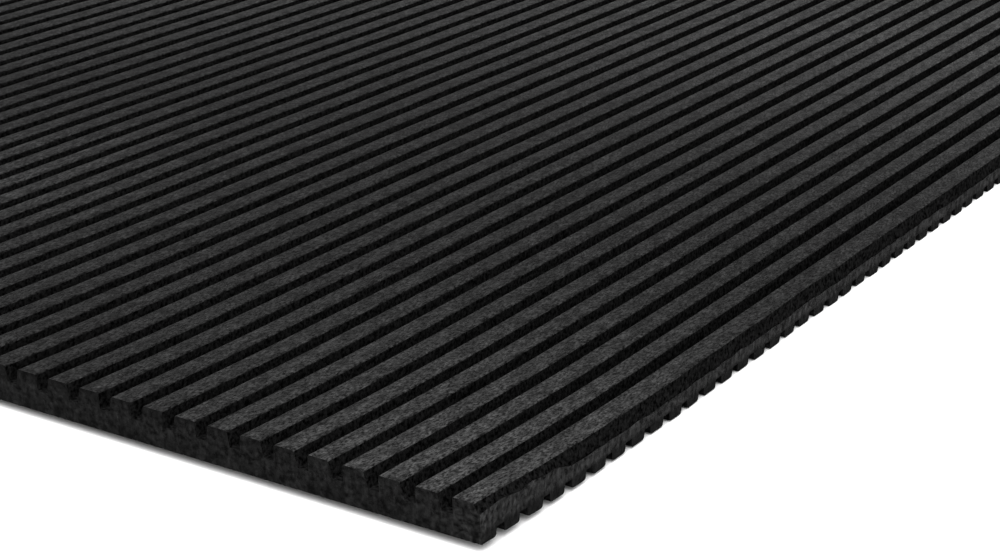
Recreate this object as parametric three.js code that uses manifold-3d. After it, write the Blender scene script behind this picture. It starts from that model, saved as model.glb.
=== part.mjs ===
// Ribbed rubber anti-vibration mat: one moulded sheet with straight ribs on its top, and lower ribs on its
// underside that run square to them. Machines stand on the top ribs, and the mat lies on the lower ones.
// Millimetres. X runs across the top ribs, Y along them and Z up. The origin is the centre of the footprint,
// on the floor.
import * as THREE from "three";
import { mergeVertices } from "three/addons/utils/BufferGeometryUtils.js";
import Module from "manifold-3d";

const wasm = await Module();
wasm.setup();

// The cut sheet.
const sheetWidth = 600;
const sheetLength = 600;

// Solid rubber between the grooves of the two faces.
const webThickness = 3.3;

// The top ribs have firm, slightly rounded edges. The knife left a narrow ledge of the web past the outer
// walls of the last ones, which are a little wider than the rest.
const topFace = {
  ribWidth: 5.74,
  grooveWidth: 3.8,
  grooveDepth: 4.3,
  draft: 0.45,
  edgeRadius: 0.5,
  ledge: 0.7,
};

// The ribs of the underside are lower and rounder, and the outer ones run out to the edge of the sheet.
const underFace = {
  ribWidth: 6.29,
  grooveWidth: 3.3,
  grooveDepth: 2.4,
  draft: 0.2,
  edgeRadius: 0.8,
  ledge: 0,
};

const thickness = underFace.grooveDepth + webThickness + topFace.grooveDepth;

// How far the cutters run past the faces that they cut through.
const cutterOvershoot = 5;

// Facets of each rounded rib edge. A shape's arcs take two for each of its curve segments.
const edgeFacets = 4;

const rubber = new THREE.MeshStandardMaterial({
  name: "moulded_black_rubber",
  color: "#2b2b2a",
  roughness: 0.95,
  metalness: 0,
});

// A closed three.js geometry as a solid that can be cut.
function solidFrom(geometry) {
  const bare = geometry.clone();
  bare.deleteAttribute("normal");
  bare.deleteAttribute("uv");
  const merged = mergeVertices(bare);
  return new wasm.Manifold(
    new wasm.Mesh({
      numProp: 3,
      vertProperties: new Float32Array(merged.attributes.position.array),
      triVerts: new Uint32Array(merged.index.array),
    }),
  );
}

// A solid as a three.js geometry whose faces are shaded flat.
function geometryFrom(solid) {
  const mesh = solid.getMesh();
  const indexed = new THREE.BufferGeometry();
  indexed.setAttribute("position", new THREE.BufferAttribute(mesh.vertProperties, 3));
  indexed.setIndex(new THREE.BufferAttribute(mesh.triVerts, 1));
  const flat = indexed.toNonIndexed();
  flat.computeVertexNormals();
  return flat;
}

// The section of the cutter for one groove between the walls at x = left and x = right. The walls lean in by
// the draft to the groove's floor, at y = 0. The ribs' crowns are at y = grooveDepth, where the mouth widens
// round the ribs' edges.
function grooveSection(left, right, { grooveDepth, draft, edgeRadius }) {
  const shoulder = grooveDepth - edgeRadius;
  const above = grooveDepth + cutterOvershoot;
  const section = new THREE.Shape();
  section.moveTo(left + draft, 0);
  section.lineTo(right - draft, 0);
  section.absarc(right + edgeRadius, shoulder, edgeRadius, Math.PI, Math.PI / 2, true);
  section.lineTo(right + edgeRadius, above);
  section.lineTo(left - edgeRadius, above);
  section.absarc(left - edgeRadius, shoulder, edgeRadius, Math.PI / 2, 0, true);
  return section;
}

// The sections of all the grooves of one face, set out evenly from the middle of the sheet's span, and of the
// ledges at its ends where the face has them.
function grooveSections(face, span) {
  const { ribWidth, grooveWidth, ledge } = face;
  const pitch = ribWidth + grooveWidth;
  const ribCount = Math.round(span / pitch);
  const sections = [];
  for (let i = 1; i < ribCount; i++) {
    const middle = (i - ribCount / 2) * pitch;
    sections.push(grooveSection(middle - grooveWidth / 2, middle + grooveWidth / 2, face));
  }
  if (ledge > 0) {
    const beyond = span / 2 + cutterOvershoot;
    const outerWall = span / 2 - ledge;
    sections.push(grooveSection(-beyond, -outerWall, face));
    sections.push(grooveSection(outerWall, beyond, face));
  }
  return sections;
}

// The cutters for one face. Their floors lie at floorHeight, they open towards outward, and they run along
// the sheet for the given run.
function grooveCutters(face, span, run, across, outward, floorHeight) {
  const cutters = new THREE.ExtrudeGeometry(grooveSections(face, span), {
    depth: run + 2 * cutterOvershoot,
    curveSegments: edgeFacets / 2,
    bevelEnabled: false,
  });
  const along = new THREE.Vector3().crossVectors(across, outward);
  cutters.translate(0, 0, -run / 2 - cutterOvershoot);
  cutters.applyMatrix4(new THREE.Matrix4().makeBasis(across, outward, along).setPosition(0, 0, floorHeight));
  return solidFrom(cutters);
}

function matGeometry() {
  const blank = new THREE.BoxGeometry(sheetWidth, sheetLength, thickness);
  blank.translate(0, 0, thickness / 2);

  const across = new THREE.Vector3(1, 0, 0);
  const lengthwise = new THREE.Vector3(0, 1, 0);
  const up = new THREE.Vector3(0, 0, 1);
  const down = new THREE.Vector3(0, 0, -1);
  const topFloor = thickness - topFace.grooveDepth;
  const underFloor = underFace.grooveDepth;

  const mat = solidFrom(blank)
    .subtract(grooveCutters(topFace, sheetWidth, sheetLength, across, up, topFloor))
    .subtract(grooveCutters(underFace, sheetLength, sheetWidth, lengthwise, down, underFloor));
  return geometryFrom(mat);
}

const mat = new THREE.Mesh(matGeometry(), rubber);
mat.name = "mat";

const part = new THREE.Group();
part.name = "anti_vibration_mat";
part.add(mat);

export default part;
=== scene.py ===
# The looks of a ribbed rubber anti-vibration mat: one moulded sheet, cut to size with a knife.
# The sheet is one closed mesh with the solid's own ribs and grooves. To them it adds what use and cutting left:
# ribs that are not quite even, a cut edge that wanders beside the last rib, and a front edge that curls up.
import math

import bpy
import numpy as np
from mathutils import Matrix, Vector, noise


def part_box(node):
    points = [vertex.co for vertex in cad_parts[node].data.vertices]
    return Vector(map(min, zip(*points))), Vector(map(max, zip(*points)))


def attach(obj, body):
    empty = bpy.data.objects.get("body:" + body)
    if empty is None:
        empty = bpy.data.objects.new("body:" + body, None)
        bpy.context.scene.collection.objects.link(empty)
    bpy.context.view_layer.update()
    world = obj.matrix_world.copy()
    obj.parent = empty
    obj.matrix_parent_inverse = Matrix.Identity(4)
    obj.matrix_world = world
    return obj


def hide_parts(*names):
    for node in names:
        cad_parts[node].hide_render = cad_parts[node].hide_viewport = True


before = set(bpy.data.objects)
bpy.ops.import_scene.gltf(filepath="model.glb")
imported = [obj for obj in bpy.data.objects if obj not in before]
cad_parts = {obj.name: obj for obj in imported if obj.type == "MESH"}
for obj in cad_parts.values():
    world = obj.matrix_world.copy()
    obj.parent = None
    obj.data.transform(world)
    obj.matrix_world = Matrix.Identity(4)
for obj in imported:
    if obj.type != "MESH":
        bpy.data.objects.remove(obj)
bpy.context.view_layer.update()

MM = 0.001

# The mat's sizes in millimetres, as its solid has them.
LOW, HIGH = (tuple(v / MM for v in corner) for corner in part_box("mat"))
THICKNESS = HIGH[2] - LOW[2]
TOP_RIB, TOP_GROOVE, TOP_DEPTH, TOP_RADIUS = 5.74, 3.8, 4.3, 0.5
LOW_RIB, LOW_GROOVE, LOW_DEPTH, LOW_RADIUS = 6.29, 3.3, 2.4, 0.8
TOP_DRAFT, LOW_DRAFT = 0.45, 0.2
LEDGE = 0.7
WEB_TOP = THICKNESS - TOP_DEPTH

# Places are told apart to a micrometre. What lies this far past a height or a wall is clear of it.
PLACE_DIGITS = 3
CLEAR = 0.1

# The photograph's camera, solved from the ribs. Angles are in degrees, its place is in millimetres, and the
# distances that it sees between are in metres.
CAMERA_PLACE = (533.0, -693.9, 233.7)
CAMERA_AZIMUTH, CAMERA_ELEVATION, CAMERA_ROLL = 30.454, 20.356, 1.87
LENS, SENSOR = 85.68, 36.0
NEAREST, FARTHEST = 0.01, 50.0


def make_camera():
    data = bpy.data.cameras.new("camera")
    data.lens, data.sensor_width = LENS, SENSOR
    data.clip_start, data.clip_end = NEAREST, FARTHEST
    camera = bpy.data.objects.new("camera", data)
    bpy.context.scene.collection.objects.link(camera)
    azimuth, elevation = math.radians(CAMERA_AZIMUTH), math.radians(CAMERA_ELEVATION)
    level = math.cos(elevation)
    look = Vector((-math.sin(azimuth) * level, math.cos(azimuth) * level, -math.sin(elevation)))
    aim = look.to_track_quat("-Z", "Y").to_matrix().to_4x4()
    roll = Matrix.Rotation(math.radians(CAMERA_ROLL), 4, "Z")
    camera.matrix_world = Matrix.Translation(Vector(CAMERA_PLACE) * MM) @ aim @ roll
    bpy.context.scene.camera = camera


# How the two faces are laid out across the sheet, from one cut edge to the other.


def rib_walls(low, high, rib, groove):
    """The walls (left, right) of the ribs between low and high, set out evenly from the middle."""
    pitch = rib + groove
    count = round((high - low) / pitch)
    start = (low + high) / 2 - (count * pitch - groove) / 2
    return [(start + i * pitch, start + i * pitch + rib) for i in range(count)]


def out_to_edges(ribs, low, high, ledge):
    """The same ribs with the outer two widened until only the ledge is left beside them."""
    return [(low + ledge, ribs[0][1]), *ribs[1:-1], (ribs[-1][0], high - ledge)]


TOP_RIBS = out_to_edges(rib_walls(LOW[0], HIGH[0], TOP_RIB, TOP_GROOVE), LOW[0], HIGH[0], LEDGE)
LOW_RIBS = out_to_edges(rib_walls(LOW[1], HIGH[1], LOW_RIB, LOW_GROOVE), LOW[1], HIGH[1], 0)

# Points inside each rib's width, as shares of it, where the cut faces are divided.
RIB_SHARES = (0.25, 0.5, 0.75)


def inside(low, high):
    """The places inside a rib where the cut faces are divided."""
    return [low + (high - low) * share for share in RIB_SHARES]


def cut_stations(ribs, draft, low, high):
    """Where a cut face is divided along its edge: at the feet of each rib, inside it and between the ribs."""
    stations = [low, high]
    for i, (left, right) in enumerate(ribs):
        stations += inside(left, right)
        stations += [min(max(foot, low), high) for foot in (left - draft, right + draft)]
        if i:
            stations.append((ribs[i - 1][1] + left) / 2)
    return sorted({round(station, PLACE_DIGITS) for station in stations})


CUT_X = cut_stations(TOP_RIBS, TOP_DRAFT, LOW[0], HIGH[0])
CUT_Y = cut_stations(LOW_RIBS, LOW_DRAFT, LOW[1], HIGH[1])

# The heights where the cut faces are divided, from the floor to the foot of the top ribs.
CUT_Z = [0.0, 1.2, LOW_DEPTH, 3.5, 4.6, WEB_TOP]


def spread(low, high, first, growth, widest):
    """Stations from low to high whose steps grow from both ends up to the widest one."""
    steps = []
    step = first
    while sum(steps) + step < (high - low) / 2:
        steps.append(step)
        step = min(step * growth, widest)
    near = [low]
    for step in steps:
        near.append(near[-1] + step)
    return near + [low + high - station for station in reversed(near)]


# Where the ribs are divided along their runs.
TOP_RUN = spread(LOW[1], HIGH[1], first=0.4, growth=1.25, widest=12.0)
LOW_RUN = spread(LOW[0], HIGH[0], first=1.0, growth=1.6, widest=40.0)

# The rounded edge of a rib in steps of a quarter circle, and the points between its edges on its crown. The
# outer top ribs have more of these, because scuffs and the trimmed edge show on them.
EDGE_STEPS = 3
CROWN_POINTS, OUTER_CROWN_POINTS = 1, 4


def rib_profile(left, right, foot, crown, radius, draft, crown_points, walls=(True, True)):
    """The outline of one rib from foot to foot. A rib without a wall on one side is cut flush there."""
    corners = []
    outward = 1 if crown > foot else -1
    for wall, side, present in ((left, 1, walls[0]), (right, -1, walls[1])):
        corner = []
        if present:
            corner.append((wall - side * draft, foot))
            for k in range(EDGE_STEPS + 1):
                turn = math.pi / 2 * k / EDGE_STEPS
                across = wall + side * radius * (1 - math.cos(turn))
                corner.append((across, crown - outward * radius * (1 - math.sin(turn))))
        else:
            corner.append((wall, crown))
        corners.append(corner)
    first, last = corners[0][-1][0], corners[1][-1][0]
    gaps = crown_points + 1
    middle = [(first + (last - first) * k / gaps, crown) for k in range(1, gaps)]
    return corners[0] + middle + corners[1][::-1]


def top_profile(i, crown_points=CROWN_POINTS):
    """The outline of one top rib."""
    return rib_profile(*TOP_RIBS[i], WEB_TOP, THICKNESS, TOP_RADIUS, TOP_DRAFT, crown_points)


def low_walls(i):
    """Whether a lower rib has a wall on each side. The outer ones are cut flush with the sheet's edge."""
    return i > 0, i < len(LOW_RIBS) - 1


def low_profile(i):
    """The outline of one lower rib."""
    return rib_profile(*LOW_RIBS[i], LOW_DEPTH, 0.0, LOW_RADIUS, LOW_DRAFT, CROWN_POINTS, low_walls(i))


# The finishes, in the order of the mesh's material slots, and the heights that wear reaches on both faces.
# The moulded finish carries painted shade in the grooves and on the ribs' walls, and the cut ends are a shaded
# copy of the cut sides.
MOULDED_PAINTED_SHADE, WORN, SLICED, SHADED_END_CUT = range(4)
WORN_BELOW, WORN_ABOVE = 0.4 * LOW_RADIUS, THICKNESS - 0.9 * TOP_RADIUS


class Sheet:
    """Collects faces by the places of their corners, so that faces that meet share their corners."""

    def __init__(self):
        self.index = {}
        self.places = []
        self.faces = []
        self.finishes = []

    def point(self, place):
        key = tuple(round(v, PLACE_DIGITS) for v in place)
        if key not in self.index:
            self.index[key] = len(self.places)
            self.places.append(place)
        return self.index[key]

    def face(self, corners, cut=None):
        """One face, unless its corners fall together. It is worn, or moulded with painted shade, by its height,
        if it isn't cut.
        """
        ids = []
        for place in corners:
            i = self.point(place)
            if i not in ids:
                ids.append(i)
        if len(ids) > 2:
            worn = all(v[2] < WORN_BELOW or v[2] > WORN_ABOVE for v in corners)
            self.faces.append(ids)
            self.finishes.append(cut or (WORN if worn else MOULDED_PAINTED_SHADE))

    def grid(self, rows, cut=None):
        """Faces between rows of places of the same length, seen with the first row below and going right."""
        for lower, upper in zip(rows, rows[1:]):
            for i in range(len(lower) - 1):
                self.face((lower[i], lower[i + 1], upper[i + 1], upper[i]), cut)

    def zip(self, lower, upper, along, cut=None):
        """Triangles between two rows of places that differ in number. along is the axis that both run on."""
        sign = 1 if lower[-1][along] > lower[0][along] else -1
        i = j = 0
        while i < len(lower) - 1 or j < len(upper) - 1:
            step_lower = j == len(upper) - 1 or (
                i < len(lower) - 1 and sign * (lower[i + 1][along] - upper[j + 1][along]) <= 0
            )
            if step_lower:
                self.face((lower[i], lower[i + 1], upper[j]), cut)
                i += 1
            else:
                self.face((lower[i], upper[j + 1], upper[j]), cut)
                j += 1


def top_face(sheet):
    """The top ribs and grooves. The outer ribs lie beside the cut edges, so they have finer steps along."""
    middles = [(a[1] + b[0]) / 2 for a, b in zip(TOP_RIBS, TOP_RIBS[1:])]
    across = [(middles[0], WEB_TOP)]
    for i, middle in enumerate(middles[1:], start=1):
        across += top_profile(i) + [(middle, WEB_TOP)]
    sheet.grid([[(x, y, z) for x, z in across] for y in TOP_RUN])

    left_band = [(LOW[0], WEB_TOP)] + top_profile(0, OUTER_CROWN_POINTS)
    sheet.grid([[(x, y, z) for x, z in left_band] for y in CUT_Y])
    fine = [(left_band[-1][0], y, WEB_TOP) for y in CUT_Y]
    coarse = [(middles[0], y, WEB_TOP) for y in TOP_RUN]
    sheet.zip(coarse, fine, along=1)

    right_band = top_profile(-1, OUTER_CROWN_POINTS) + [(HIGH[0], WEB_TOP)]
    sheet.grid([[(x, y, z) for x, z in right_band] for y in CUT_Y])
    fine = [(right_band[0][0], y, WEB_TOP) for y in CUT_Y]
    coarse = [(middles[-1], y, WEB_TOP) for y in TOP_RUN]
    sheet.zip(fine, coarse, along=1)


def under_face(sheet):
    """The lower ribs and grooves, which open downwards and run across the top ones."""
    across = low_profile(0)
    for i in range(1, len(LOW_RIBS)):
        middle = (LOW_RIBS[i - 1][1] + LOW_RIBS[i][0]) / 2
        across += [(middle, LOW_DEPTH)] + low_profile(i)
    sheet.grid([[(x, y, z) for x in LOW_RUN] for y, z in reversed(across)])


def front_and_back(sheet):
    """The cut faces across the top ribs: the web with the outer lower rib, and the ribs' ends above it."""
    for y, order in ((LOW[1], 1), (HIGH[1], -1)):
        rows = [[(x, y, z) for x in CUT_X[::order]] for z in CUT_Z[1:]]
        sheet.grid(rows, cut=SHADED_END_CUT)
        foot = [(x, y, CUT_Z[0]) for x in LOW_RUN[::order]]
        sheet.zip(foot, rows[0], along=0, cut=SHADED_END_CUT)
        for i, rib in enumerate(TOP_RIBS):
            outer = i in (0, len(TOP_RIBS) - 1)
            outline = top_profile(i, OUTER_CROWN_POINTS if outer else CROWN_POINTS)
            base = [(x, WEB_TOP) for x in inside(*rib)]
            corners = [(x, y, z) for x, z in base + outline[::-1]]
            sheet.face(corners[::order], cut=SHADED_END_CUT)


def sides(sheet):
    """The cut faces along the top ribs: the web's edge, and the ends of the lower ribs below it."""
    for x, order in ((LOW[0], -1), (HIGH[0], 1)):
        sheet.grid([[(x, y, z) for y in CUT_Y[::order]] for z in CUT_Z[2:]], cut=SLICED)
        for i, (low, high) in enumerate(LOW_RIBS):
            outline = low_profile(i)
            has_low_wall, has_high_wall = low_walls(i)
            if not has_low_wall:
                outline = [(low, LOW_DEPTH), (low, CUT_Z[1])] + outline
            if not has_high_wall:
                outline = outline + [(high, CUT_Z[1]), (high, LOW_DEPTH)]
            base = [(y, LOW_DEPTH) for y in inside(low, high)]
            corners = [(x, y, z) for y, z in outline + base[::-1]]
            sheet.face(corners[::order], cut=SLICED)


# How the real sheet departs from the mould, in millimetres.

# The front edge curls up steeply, and a little of that reaches far into the sheet. Both fade out towards the
# left edge, between two distances from the right one.
CURL_LIFT, CURL_REACH = 1.85, 95.0
SAG_LIFT, SAG_REACH = 0.45, 300.0
CURL_FULL, CURL_GONE = 480.0, 600.0
# At the front the knife drew the ribs aside: away from the near corner, and further on towards it. The places
# are distances from the right edge. A rib's foot moved by a share of what its crown did, and the cut edge by
# less than the rest.
DRAWN_PLACES = (0.0, 35.0, 68.0, 100.0, 160.0, 300.0)
DRAWN = (-1.0, -0.9, 0.0, 0.7, 0.7, 0.0)
DRAWN_RUN = 75.0
DRAWN_FOOT_SHARE, DRAWN_EDGE_LOSS = 0.4, 0.6
# The front face leans out, so its top stands further forward than its foot.
LEAN, LEAN_RUN = 1.2, 9.0
# The knife ran a little further in at the near end of the right edge.
TRIM, TRIM_RUN = 1.0, 75.0
# Beside the near corner the knife tore the last rib's wall, and left a slumped shoulder on the ledge.
SHOULDER_RISE, SHOULDER_RAGGEDNESS = 2.3, 0.4
SHOULDER_FROM, SHOULDER_TO, SHOULDER_FADE = -5.0, 37.0, 8.0
# How far the cut edges, their torn upper lip and the ribs' crowns wander, with the length of their waves.
EDGE_WANDER, EDGE_WAVE = 0.3, 16.0
LIP_WANDER, LIP_WAVE = 0.55, 5.0
CROWN_WANDER, CROWN_WAVE = 0.12, 55.0
# How far apart two seeds take their samples of the noise.
SEED_STEPS = (17.3, 7.1, 3.7)


def curl(x, y):
    """How far the sheet has risen from the floor."""
    inward = y - LOW[1]
    from_side = HIGH[0] - x
    curled = CURL_LIFT * np.clip(1 - inward / CURL_REACH, 0, None) ** 2
    sagging = SAG_LIFT * np.clip(1 - inward / SAG_REACH, 0, None)
    fade = np.clip((CURL_GONE - from_side) / (CURL_GONE - CURL_FULL), 0, 1)
    return (curled + sagging) * fade


def waves(places, size, seed):
    """Smooth noise between about -1 and 1, with waves of the given size, one value for each place."""
    shift = Vector([seed * step for step in SEED_STEPS])
    return np.array([noise.noise(Vector(p) / size + shift) for p in places])


def shoulder(y):
    """How much of the torn shoulder stands at this place along the right edge, from 0 to 1."""
    inward = y - LOW[1]
    start = np.clip((inward - SHOULDER_FROM) / SHOULDER_FADE, 0, 1)
    end = np.clip((SHOULDER_TO - inward) / SHOULDER_FADE, 0, 1)
    return start * end


def weathered(places):
    """The places of the worn and cut sheet, from those of the mould."""
    x, y, z = places.T
    inward = y - LOW[1]
    along = np.column_stack((x * 0, y, z * 0))
    on_edge = np.isclose(np.abs(x), HIGH[0])
    at_right = x > HIGH[0] - LEDGE - CLEAR
    outer_rib = TOP_RIBS[-1][0]
    outer = np.clip((np.abs(x) - outer_rib) / (HIGH[0] - outer_rib), 0, 1)
    above_web = z > WEB_TOP + CLEAR
    web_share = np.clip((z - LOW_DEPTH) / (WEB_TOP - LOW_DEPTH), 0, 1) * (z < WEB_TOP + CLEAR)
    rib_share = np.clip((z - WEB_TOP) / TOP_DEPTH, 0, 1)

    trimmed = -TRIM * np.clip(1 - inward / TRIM_RUN, 0, 1) ** 2 * outer * (x > 0)
    wander = EDGE_WANDER * waves(along, EDGE_WAVE, seed=1) * np.sign(x) * outer
    drawn = np.interp(HIGH[0] - x, DRAWN_PLACES, DRAWN) * np.clip(1 - inward / DRAWN_RUN, 0, None)
    drawn *= DRAWN_FOOT_SHARE + (1 - DRAWN_FOOT_SHARE) * rib_share
    drawn *= (z > LOW_DEPTH + CLEAR) * (1 - DRAWN_EDGE_LOSS * on_edge)

    lean = -LEAN * (z / THICKNESS) * np.clip(1 - inward / LEAN_RUN, 0, None)

    lip = web_share * on_edge * LIP_WANDER * waves(along, LIP_WAVE, seed=4)
    ragged = 1 + SHOULDER_RAGGEDNESS * waves(along, LIP_WAVE, seed=6)
    torn = web_share * at_right * SHOULDER_RISE * shoulder(y) * ragged
    uneven = CROWN_WANDER * waves(places, CROWN_WAVE, seed=2) * above_web
    return np.column_stack((x + trimmed + wander + drawn, y + lean, z + lip + torn + uneven + curl(x, y)))


# The tone of the ribs' crowns, and where they are lighter than the rest, partly from scuffs and partly from a
# painted sheen that brightens them towards the far side: the centre and reach of each patch in millimetres, and
# the share that it adds to the tone.
SCUFF_AND_SHEEN_BASE = 0.45
SCUFF_AND_SHEEN_PATCHES = (
    ((300.0, -300.0), (75.0, 95.0), 0.7),
    ((240.0, 170.0), (280.0, 150.0), 0.78),
    ((-70.0, 60.0), (90.0, 110.0), 0.35),
    ((60.0, -190.0), (40.0, 50.0), 0.3),
)

# The cut rubber is paler in a strip beside the near corner's edge.
CORNER_TONE, CORNER_STRIP = 0.8, (14.0, 1.6)

# Crumb from the knife lies in the grooves at the front edge: the share it adds to their tone, and its reach.
CRUMB_TONE, CRUMB_REACH = 0.4, 4.0


def tone_and_painted_sheen(places):
    """The tone at each place: on the crowns, scuffs and a painted sheen towards the far side; on the cut faces,
    a paler strip by the near corner.
    """
    x, y, z = places.T
    tone = np.full(len(places), SCUFF_AND_SHEEN_BASE)
    for (middle_x, middle_y), (reach_x, reach_y), amount in SCUFF_AND_SHEEN_PATCHES:
        tone += amount * np.exp(-(((x - middle_x) / reach_x) ** 2) - ((y - middle_y) / reach_y) ** 2)
    corner = np.hypot((x - HIGH[0]) / CORNER_STRIP[0], (y - LOW[1]) / CORNER_STRIP[1])
    return np.where(z > WEB_TOP + CLEAR, tone, 1 + CORNER_TONE * np.exp(-(corner**2)))


def crumbed(places):
    """The tone that crumb gives the floors of the grooves at each place."""
    inward = places[:, 1] - LOW[1]
    on_floor = places[:, 2] < WEB_TOP + CLEAR
    return 1 + CRUMB_TONE * np.exp(-((inward / CRUMB_REACH) ** 2)) * on_floor


# Faces that meet at a sharper angle than this, in degrees, are not shaded as one.
SHARP_ANGLE = 40


def make_mat(finishes):
    sheet = Sheet()
    top_face(sheet)
    under_face(sheet)
    front_and_back(sheet)
    sides(sheet)
    places = np.array(sheet.places)
    mesh = bpy.data.meshes.new("rubber_mat")
    mesh.from_pydata((weathered(places) * MM).tolist(), [], sheet.faces)
    for material in finishes:
        mesh.materials.append(material)
    mesh.polygons.foreach_set("material_index", np.array(sheet.finishes, dtype=np.int32))
    tones = {"height": places[:, 2], "tone_and_painted_sheen": tone_and_painted_sheen(places), "crumbed": crumbed(places)}
    for name, values in tones.items():
        mesh.attributes.new(name, "FLOAT", "POINT").data.foreach_set("value", values)
    mesh.shade_smooth()
    mesh.set_sharp_from_angle(angle=math.radians(SHARP_ANGLE))
    mesh.validate()
    mesh.update()
    mat = bpy.data.objects.new("rubber_mat", mesh)
    bpy.context.scene.collection.objects.link(mat)
    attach(mat, "root")
    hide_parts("mat")


# Colours and materials.


def linear(colour):
    """An sRGB hex colour as linear RGBA."""
    channels = [int(colour[i : i + 2], 16) / 255 for i in (1, 3, 5)]
    return tuple(c / 12.92 if c <= 0.04045 else ((c + 0.055) / 1.055) ** 2.4 for c in channels) + (1.0,)


def per_metre(size):
    """A pattern's scale in object coordinates, from the size of its grain in millimetres."""
    return 1 / (size * MM)


def add_node(material, kind, inputs, **settings):
    """Adds a node with its settings. An input is fed by a value or by another node's output."""
    node = material.node_tree.nodes.new(kind)
    for name, value in settings.items():
        setattr(node, name, value)
    for name, value in inputs.items():
        if isinstance(value, bpy.types.NodeSocket):
            material.node_tree.links.new(value, node.inputs[name])
        else:
            node.inputs[name].default_value = value
    return node


def new_material(name):
    material = bpy.data.materials.new(name)
    material.use_nodes = True
    material.node_tree.nodes.clear()
    return material


def place_on(material, stretch=(1, 1, 1)):
    """The place on the object, drawn out where the stretch is below 1."""
    place = add_node(material, "ShaderNodeTexCoord", {}).outputs["Object"]
    return add_node(material, "ShaderNodeVectorMath", {0: place, 1: stretch}, operation="MULTIPLY").outputs[0]


def measured(material, name):
    """What the mesh says under the given name at each place."""
    return add_node(material, "ShaderNodeAttribute", {}, attribute_name=name).outputs["Fac"]


# The part of the noise's range that most of it lies in, and the darkest tone that it may give.
NOISE_LOW, NOISE_HIGH = 0.36, 0.68
NOISE_ROUGHNESS = 0.6
DARKEST = 0.1


def grain(material, place, size, detail, strength):
    """A noise of the given grain size: its raw output, and a tone round 1 that swings by the given strength."""
    raw = add_node(
        material,
        "ShaderNodeTexNoise",
        {"Vector": place, "Scale": per_metre(size), "Detail": detail, "Roughness": NOISE_ROUGHNESS},
    ).outputs["Fac"]
    tone = add_node(
        material,
        "ShaderNodeMapRange",
        {
            "Value": raw,
            "From Min": NOISE_LOW,
            "From Max": NOISE_HIGH,
            "To Min": max(1 - strength, DARKEST),
            "To Max": 1 + strength,
        },
    ).outputs["Result"]
    return raw, tone


def product(material, *factors):
    result = factors[0]
    for factor in factors[1:]:
        result = add_node(material, "ShaderNodeMath", {0: result, 1: factor}, operation="MULTIPLY").outputs[0]
    return result


# The sockets of a Mix node that blends colours, by their numbers, because its other kinds share their names.
MIX_SHARE, MIX_FROM, MIX_TO, MIX_RESULT = 0, 6, 7, 2


def blend(material, value, low, high, low_colour, high_colour):
    """One colour below the low value, another above the high one, and a smooth change between them."""
    share = add_node(
        material,
        "ShaderNodeMapRange",
        {"Value": value, "From Min": low, "From Max": high},
        interpolation_type="SMOOTHSTEP",
    ).outputs["Result"]
    return add_node(
        material,
        "ShaderNodeMix",
        {MIX_SHARE: share, MIX_FROM: linear(low_colour), MIX_TO: linear(high_colour)},
        data_type="RGBA",
    ).outputs[MIX_RESULT]


RUBBER_IOR = 1.52
SHEEN_ROUGHNESS = 0.4


def finish_rubber(material, colour, tone, bump_height, bump_depth, roughness, specular, sheen=0.0):
    """Dull black rubber in one colour and tone, with bumps that are bump_depth millimetres deep."""
    shade = add_node(material, "ShaderNodeVectorMath", {0: colour, "Scale": tone}, operation="SCALE").outputs[0]
    bump = add_node(
        material, "ShaderNodeBump", {"Height": bump_height, "Strength": 1.0, "Distance": bump_depth * MM}
    ).outputs["Normal"]
    shader = add_node(
        material,
        "ShaderNodeBsdfPrincipled",
        {
            "Base Color": shade,
            "Normal": bump,
            "Roughness": roughness,
            "IOR": RUBBER_IOR,
            "Specular IOR Level": specular,
            "Sheen Weight": sheen,
            "Sheen Roughness": SHEEN_ROUGHNESS,
        },
    ).outputs["BSDF"]
    add_node(material, "ShaderNodeOutputMaterial", {"Surface": shader})


# Grain sizes in millimetres. The finest real grit is too small to show, so it is drawn at half a millimetre,
# and drawn out along the ribs. The blade's streaks stand upright.
SKIN_SIZE = 1.0
GRIT_SIZE, GRIT_STRETCH = 0.5, (1, 0.4, 1)
SCUFF_SIZE = 1.9
CRUMB_SIZE = 1.6
STREAK_SIZE, STREAK_STRETCH = 0.9, (1, 1, 0.12)

# The heights between which the crowns' wear sets in, once the noise of the scuffs is added to the height.
WEAR_FROM, WEAR_TO = THICKNESS - 0.05, THICKNESS + 0.35

# The heights between which the painted shade along the foot of the cut faces ends.
SHADED_FOOT_FROM, SHADED_FOOT_TO = LOW_DEPTH - 0.3, LOW_DEPTH + 1.1


def moulded_rubber_painted_shade():
    """Black rubber as it left the mould, in the grooves, where nothing touches it: the deepest black, partly
    the skin's own colour and partly painted shade in the grooves and on the ribs' walls.
    """
    material = new_material("moulded_rubber_painted_shade")
    skin, skin_tone = grain(material, place_on(material), SKIN_SIZE, detail=4.0, strength=1.3)
    tone = product(material, skin_tone, measured(material, "crumbed"))
    # This black is partly the moulded skin's own and partly painted shade of the grooves and walls.
    colour = linear("#0d0d0d")[:3]
    finish_rubber(material, colour, tone, skin, bump_depth=0.3, roughness=0.95, specular=0.0)
    return material


def worn_rubber():
    """The crowns of the ribs: a dusty dark grey from scuffs with a speckle of grit, paler in patches from
    scuffs and from a painted sheen towards the far side.
    """
    material = new_material("worn_rubber")
    place = place_on(material, GRIT_STRETCH)
    grit, grit_tone = grain(material, place, GRIT_SIZE, detail=3.0, strength=1.7)
    scuffs, scuff_tone = grain(material, place, SCUFF_SIZE, detail=3.0, strength=0.5)
    ragged = add_node(
        material, "ShaderNodeMath", {0: scuffs, 1: measured(material, "height")}, operation="ADD"
    ).outputs[0]
    colour = blend(material, ragged, WEAR_FROM, WEAR_TO, "#0a0a0a", "#262626")
    # The crowns' tone carries scuffs and a painted sheen that lightens them towards the far side.
    tone = product(material, grit_tone, scuff_tone, measured(material, "tone_and_painted_sheen"))
    finish_rubber(material, colour, tone, grit, bump_depth=0.5, roughness=0.9, specular=0.03, sheen=0.02)
    return material


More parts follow.
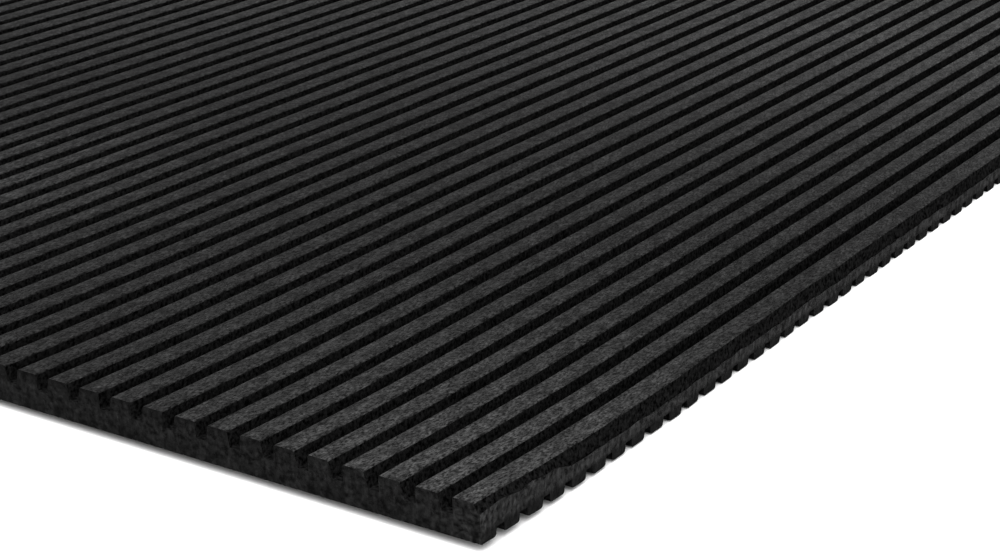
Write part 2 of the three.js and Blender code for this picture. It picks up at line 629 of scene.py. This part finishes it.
def cut_rubber(name, shaded_foot_colour, body_colour):
    """Rubber where the knife went through it: torn crumb, lighter than the moulded skin, with the streaks of
    the blade, and with painted shade darkening it along the foot, next to the floor."""
    material = new_material(name)
    crumb, crumb_tone = grain(material, place_on(material), CRUMB_SIZE, detail=4.0, strength=2.2)
    streak_place = place_on(material, STREAK_STRETCH)
    streak_tone = grain(material, streak_place, STREAK_SIZE, detail=1.0, strength=0.3)[1]
    # Painted shade: the cut faces are darker along the foot.
    colour = blend(material, measured(material, "height"), SHADED_FOOT_FROM, SHADED_FOOT_TO, shaded_foot_colour, body_colour)
    tone = product(material, crumb_tone, streak_tone, measured(material, "tone_and_painted_sheen"))
    finish_rubber(material, colour, tone, crumb, bump_depth=0.8, roughness=0.95, specular=0.05)
    return material


# The studio, in metres: a pale floor, a broad soft light above on the camera's side, and an even white sky.

FLOOR_SIZE = 30.0
SKY_STRENGTH = 1.0
KEY_PLACE, KEY_AIM = (0.9, -1.6, 2.2), (0, 0, 0)
KEY_SIZE, KEY_POWER = 2.5, 110


def make_floor():
    mesh = bpy.data.meshes.new("floor")
    half = FLOOR_SIZE / 2
    corners = [(-half, -half, 0), (half, -half, 0), (half, half, 0), (-half, half, 0)]
    mesh.from_pydata(corners, [], [(0, 1, 2, 3)])
    material = new_material("pale_floor")
    shader = add_node(
        material,
        "ShaderNodeBsdfPrincipled",
        {"Base Color": linear("#f4f4f4"), "Roughness": 1.0, "Specular IOR Level": 0.0},
    ).outputs["BSDF"]
    add_node(material, "ShaderNodeOutputMaterial", {"Surface": shader})
    mesh.materials.append(material)
    floor = bpy.data.objects.new("floor", mesh)
    bpy.context.scene.collection.objects.link(floor)


def make_key_light():
    data = bpy.data.lights.new("key", "AREA")
    data.shape, data.size, data.energy = "SQUARE", KEY_SIZE, KEY_POWER
    light = bpy.data.objects.new("key", data)
    light.location = KEY_PLACE
    light.rotation_euler = (Vector(KEY_AIM) - Vector(KEY_PLACE)).to_track_quat("-Z", "Y").to_euler()
    bpy.context.scene.collection.objects.link(light)


def make_studio():
    make_floor()
    world = bpy.data.worlds.new("studio")
    world.use_nodes = True
    sky = world.node_tree.nodes["Background"]
    sky.inputs["Color"].default_value = linear("#ffffff")
    sky.inputs["Strength"].default_value = SKY_STRENGTH
    bpy.context.scene.world = world
    make_key_light()
    bpy.context.scene.view_settings.view_transform = "Standard"


make_camera()
make_mat(
    [
        moulded_rubber_painted_shade(),
        worn_rubber(),
        cut_rubber("sliced_rubber", "#070707", "#171717"),
        # The end faces' darker colours are painted shade: they are the same cut rubber as the sides.
        cut_rubber("end_cut_rubber_painted_shade", "#090909", "#0b0b0b"),
    ]
)
make_studio()
